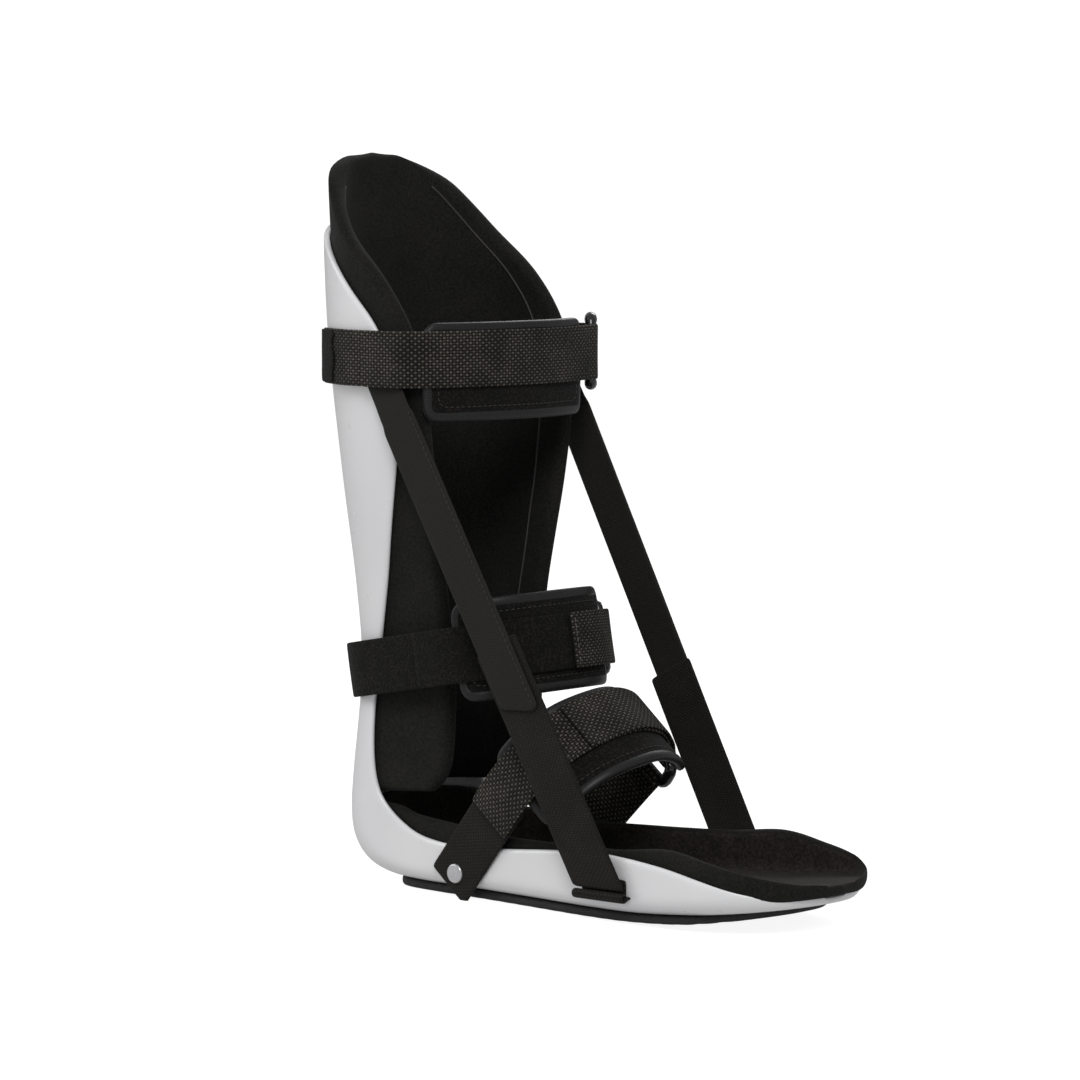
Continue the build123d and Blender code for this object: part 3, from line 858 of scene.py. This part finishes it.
def make_ankle_closure():
    front_bar, rear_bar = ring_bars((57.0, 45.5), 166.8)
    make_ring("ankle_ring", ANKLE, front_bar, rear_bar)
    front = [(22, -46), (42, -47), (58, -41), (70, -25), (76, 0), (74, 20), (67, 36)]
    band = Band(*ANKLE, None, wrap(front, front_bar, 0, LOOP_SWEEP))
    strap("ankle_front_tape", band, 0, band.length, PILE, "loop_strap", "ankle_closure",
          ("ankle_front_strap",))
    route = [(42, -47), (47, -46), (58, -41), (70, -25), (76, 0), (74, 20), (68, 34), (66, 38)]
    pad_band = Band(*ANKLE, route)
    make_cuff("ankle_cuff", pad_band, 5.0, pad_band.length - 4.0, 44.0, 1.0, "ankle_closure", "ankle_pad")
    back_route = [(42, -44.2), (20, -43.8), (-6, -41.8), (-24.6, -37.6), (-37.6, -25.2), (-42.7, -8),
                  (-42.7, 8), (-37.6, 25.2), (-24.6, 37.6), (-6, 41.8), (20, 45.4), (36, 48.6)]
    back = Band(*ANKLE, None, wrap(back_route, rear_bar, 90, -LOOP_SWEEP))
    # This route runs backward from the near side, so its outward side is the other one.
    back.normals = -back.normals
    strap("ankle_back_tape", back, 0, back.length, PILE, "loop_strap", "root", ("ankle_back_strap",))
    tongue = Band(*ANKLE, [(76.2, -4), (76, 4), (74, 20), (67, 36), (61.5, 43)])
    strap("ankle_tongue_webbing", tongue, 4, tongue.length, WEBBING, "webbing", "ankle_tongue",
          ("ankle_tongue",), height=OUTSIDE)
    places = stitch_line(tongue, [(6.5, -10.5), (6.5, 10.5)], OUTSIDE + 0.9)
    stitch_row("ankle_tongue_stitches", places, (2.2, 0.6), PALE_THREAD, "ankle_tongue")


def make_instep_closure():
    front_bar, rear_bar = ring_bars((71.5, 45.0), 171.8)
    make_ring("instep_ring", INSTEP, front_bar, rear_bar)
    front = [(36, -44.5), (56, -45), (76, -40), (92, -24), (99, 0), (95, 20), (85, 35)]
    band = Band(*INSTEP, None, wrap(front, front_bar, 0, LOOP_SWEEP))
    strap("instep_front_webbing", band, 0, band.length, WEBBING, "webbing", "instep_closure",
          ("instep_front_strap",))
    route = [(54, -45), (58, -44.6), (76, -40), (92, -24), (99, 0), (95, 20), (86, 33.5), (83, 37)]
    pad_band = Band(*INSTEP, route)
    make_cuff("instep_cuff", pad_band, 4.0, pad_band.length - 4.5, 44.0, -6.0, "instep_closure",
              "instep_pad")
    back = Band(*INSTEP, [(-8, -39.7), (10, -40.8), (30, -42.1), (52, -42.8)])
    strap("instep_back_webbing", back, 0, back.length, LOWER_WEBBING, "webbing", "root",
          ("instep_back_strap",))
    keeper_route = [(-8, 39.7), (10, 40.8), (30, 43.0), (48, 46.6)]
    keeper = Band(*INSTEP, None, wrap(keeper_route, rear_bar, 90, -LOOP_SWEEP))
    strap("instep_keeper_webbing", keeper, 0, keeper.length, WEBBING, "webbing", "root",
          ("instep_ring_keeper",))
    tongue = Band(*INSTEP, [(91, -26), (99, 0), (95, 20), (85, 35), (77, 42.4)])
    strap("instep_tongue_webbing", tongue, 0, tongue.length, WEBBING, "webbing", "instep_tongue",
          ("instep_tongue",), height=OUTSIDE)


# ---------------------------------------------------------------- tension straps
# Places on the near side, millimetres. The far side mirrors them.
TENSION_TOP = np.array([21.0, -59.2, 226.0])
TENSION_FOOT = np.array([136.5, -51.5, 15.6])
# Where the upper strap's tail and the lower strap's head lie, measured up from the foot.
TENSION_LAP = {"near": (84.0, 120.0), "far": (62.0, 98.0)}
UPPER_TAPE_LOW = WEBBING_THICKNESS / 2 + LAYER_GAP
TAB_LENGTH = 23.0
TAB_INNER_Y = -59.9
TAB_OUTER_Y = -61.3

SLOT = np.array([136.5, -51.6, 13.2])
SLOT_LENGTH = 30.0
LEAF_Y = -48.3
LEAF_HEIGHT = 7.5
FOLD_THICKNESS = 1.2
ROLL_RADIUS = 1.9


class Lay:
    """A straight strap's plane: across it, along it from the foot, and outward."""

    def __init__(self, sign):
        self.mirror = np.array([1, sign, 1])
        self.length = np.linalg.norm(TENSION_TOP - TENSION_FOOT)
        self.along = (TENSION_TOP - TENSION_FOOT) / self.length
        self.across = np.cross([0, 1, 0], self.along)
        self.across /= np.linalg.norm(self.across)
        self.out = np.cross(self.across, self.along)

    def place(self, v, u, h):
        return (TENSION_FOOT + self.across * v + self.along * u + self.out * h) * self.mirror


def upper_tape(side, sign, lay, tail):
    """Smooth tape with a slanted tail. Above its crease it lies flat against the calf."""
    half = TENSION_WIDTH / 2
    top = lay.length + TAB_LENGTH
    outer, inner = [], []
    for share in np.linspace(0, 1, 64):
        row_out, row_in = [], []
        for v in np.linspace(-half, half, 7):
            start = tail + (1.5 if v > half - 1 else (half - 2 - v) * 0.5)
            u = start + (top - start) * share
            wave = 0.22 * math.sin(u / 13.0) * math.cos(v / 6.0)
            narrow = v * (0.9 if u > lay.length - 8 else 1.0)
            p_in = lay.place(narrow, u, UPPER_TAPE_LOW + wave)
            p_out = lay.place(narrow, u, UPPER_TAPE_LOW + TENSION_THICKNESS + wave)
            if u > lay.length - 4:
                flat = min((u - lay.length + 4) / 8.0, 1.0)
                flat = flat * flat * (3 - 2 * flat)
                p_in[1] = p_in[1] * (1 - flat) + flat * sign * TAB_INNER_Y
                p_out[1] = p_out[1] * (1 - flat) + flat * sign * TAB_OUTER_Y
            row_out.append(p_out)
            row_in.append(p_in)
        outer.append(row_out)
        inner.append(row_in)
    upper = sheet_object(f"{side}_upper_tape", np.array(outer), np.array(inner), 0.35)
    upper.data.materials.append(SMOOTH_TAPE)
    crease = lay.place(0, lay.length - 3, 1.8)
    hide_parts(f"{side}_tension_tab", f"{side}_upper_tension_strap")
    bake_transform(upper)


def lower_webbing(side, lay, head):
    """Webbing from the slot fold up to its head, with its foot edge cut level."""
    half = WEBBING_WIDTH / 2
    slant = lay.across[2] / lay.along[2]
    outer, inner = [], []
    for share in np.linspace(0, 1, 46):
        row_out, row_in = [], []
        for v in np.linspace(-half, half, 9):
            start = 0.8 - v * slant
            u = start + (head - start) * share
            wave = 0.18 * math.sin(u / 11.0 + 1) * math.cos(v / 7.0)
            row_out.append(lay.place(v, u, WEBBING_THICKNESS / 2 + wave))
            row_in.append(lay.place(v, u, -WEBBING_THICKNESS / 2 + wave))
        outer.append(row_out)
        inner.append(row_in)
    lower = sheet_object(f"{side}_lower_webbing", np.array(outer), np.array(inner), 0.4)
    finish_piece(lower, LOWER_WEBBING, f"{side}_lower_tension", (f"{side}_lower_tension_strap",))


def upper_stitches(side, lay, tail):
    """A row of stitches along the upper tape's front edge."""
    edge = [lay.place(TENSION_WIDTH / 2 - 1.6, u, UPPER_TAPE_LOW + TENSION_THICKNESS + 0.1)
            for u in np.arange(tail + 3, lay.length - 4, 3.0)]
    outward = lay.out * lay.mirror
    places = [((a + b) / 2, (b - a) / np.linalg.norm(b - a), outward) for a, b in zip(edge[:-1], edge[1:])]
    stitch_row(f"{side}_upper_stitches", places, (2.1, 0.4), THREAD, f"{side}_upper_tension")


def slot_leaf(side, sign):
    """The folded webbing's inner leaf, between the foot wall and the strap."""
    reach = SLOT_LENGTH / 2 - 2.5
    leaf = np.array([[(SLOT[0] + x, sign * LEAF_Y, SLOT[2] + z) for z in np.linspace(0, LEAF_HEIGHT, 5)]
                     for x in np.linspace(-reach, reach, 9)])
    inward = np.array([0, -sign * FOLD_THICKNESS / 2, 0])
    tab = sheet_object(f"{side}_slot_leaf", leaf - inward, leaf + inward, 0.3)
    finish_piece(tab, LOWER_WEBBING, "root")


def slot_roll(side, sign):
    """The webbing's end outside its slot: out through the wall and rolled up in a tightening spiral."""
    centre = SLOT[1] + 0.2
    profile = [(-44.0, SLOT[2]), (-46.5, SLOT[2] - 0.1)]
    for k, turn in enumerate(np.radians(np.linspace(-150, 250, 30))):
        radius = ROLL_RADIUS - 0.0012 * k * k
        profile.append((centre - radius * math.cos(turn), SLOT[2] + radius * math.sin(turn)))
    profile = even(np.array(profile), 0.9)
    step = np.gradient(profile, axis=0)
    step /= np.linalg.norm(step, axis=1)[:, None]
    offset = np.stack([step[:, 1], -step[:, 0]], 1) * FOLD_THICKNESS / 2
    reach = SLOT_LENGTH / 2 - 0.5
    along = np.linspace(-reach, reach, 12)
    outer, inner = ([[(SLOT[0] + x, sign * y, z) for y, z in line] for x in along]
                    for line in (profile + offset, profile - offset))
    roll = sheet_object(f"{side}_slot_roll", np.array(outer), np.array(inner), 0.3)
    finish_piece(roll, LOWER_WEBBING, "root", (f"{side}_slot_fold",))


def make_tension(side, sign):
    lay = Lay(sign)
    tail, head = TENSION_LAP[side]
    upper_tape(side, sign, lay, tail)
    lower_webbing(side, lay, head)
    upper_stitches(side, lay, tail)
    slot_leaf(side, sign)
    slot_roll(side, sign)


# ---------------------------------------------------------------- stage
def area_light(name, place, target, size, power):
    data = bpy.data.lights.new(name, "AREA")
    data.shape = "RECTANGLE"
    data.size, data.size_y = size
    data.energy = power
    lamp = bpy.data.objects.new(name, data)
    lamp.location = place
    lamp.rotation_euler = (Vector(target) - Vector(place)).to_track_quat("-Z", "Y").to_euler()
    bpy.context.scene.collection.objects.link(lamp)


def make_stage():
    mesh = bpy.data.meshes.new("floor")
    mesh.from_pydata([(-6, -6, 0), (6, -6, 0), (6, 6, 0), (-6, 6, 0)], [], [(0, 1, 2, 3)])
    floor = bpy.data.objects.new("floor", mesh)
    floor.location.z = -0.0002
    bpy.context.scene.collection.objects.link(floor)
    pale = Shader("pale_floor", (0.35, 0.35, 0.35), 0.9)
    pale.surface.inputs["Emission Color"].default_value = (1, 1, 1, 1)
    seen = pale.node("ShaderNodeLightPath").outputs["Is Camera Ray"]
    glow = pale.node("ShaderNodeMapRange")
    glow.inputs["To Min"].default_value = 0.22
    glow.inputs["To Max"].default_value = 0.9
    pale.link(seen, glow.inputs["Value"])
    pale.link(glow.outputs[0], pale.surface.inputs["Emission Strength"])
    mesh.materials.append(pale.material)
    bpy.context.scene.view_settings.view_transform = "Standard"
    world = bpy.data.worlds.new("studio")
    bpy.context.scene.world = world
    world.use_nodes = True
    background = world.node_tree.nodes["Background"]
    background.inputs["Color"].default_value = (1, 1, 1, 1)
    path = world.node_tree.nodes.new("ShaderNodeLightPath")
    strength = world.node_tree.nodes.new("ShaderNodeMapRange")
    strength.inputs["To Min"].default_value = 0.36
    strength.inputs["To Max"].default_value = 1.1
    world.node_tree.links.new(path.outputs["Is Camera Ray"], strength.inputs["Value"])
    world.node_tree.links.new(strength.outputs[0], background.inputs["Strength"])
    middle = (0.06, 0, 0.16)
    area_light("key", (1.1, -1.3, 1.5), middle, (0.9, 0.9), 20)
    area_light("left", (-1.4, -0.9, 1.0), middle, (0.8, 1.2), 6)
    area_light("rim", (-0.6, 1.5, 1.3), middle, (0.8, 0.8), 8)


def make_camera():
    azimuth, elevation, distance = math.radians(41.0), math.radians(5.0), 2.2
    target = Vector((0.057, 0.0, 0.163))
    back = Vector((math.sin(azimuth) * math.cos(elevation), -math.cos(azimuth) * math.cos(elevation),
                   math.sin(elevation)))
    data = bpy.data.cameras.new("camera")
    data.lens = 160.0
    data.sensor_width = 36.0
    camera = bpy.data.objects.new("camera", data)
    camera.location = target + back * distance
    camera.rotation_euler = (-back).to_track_quat("-Z", "Y").to_euler()
    bpy.context.scene.collection.objects.link(camera)
    bpy.context.scene.camera = camera


make_camera()
make_stage()
make_shell()
make_calf_liner()
make_foot_liner()
make_outsole()
make_calf_closure()
make_ankle_closure()
make_instep_closure()
make_tension("near", 1)
make_tension("far", -1)
polish(("calf_rivets", "instep_near_rivet", "instep_far_rivet"), METAL)
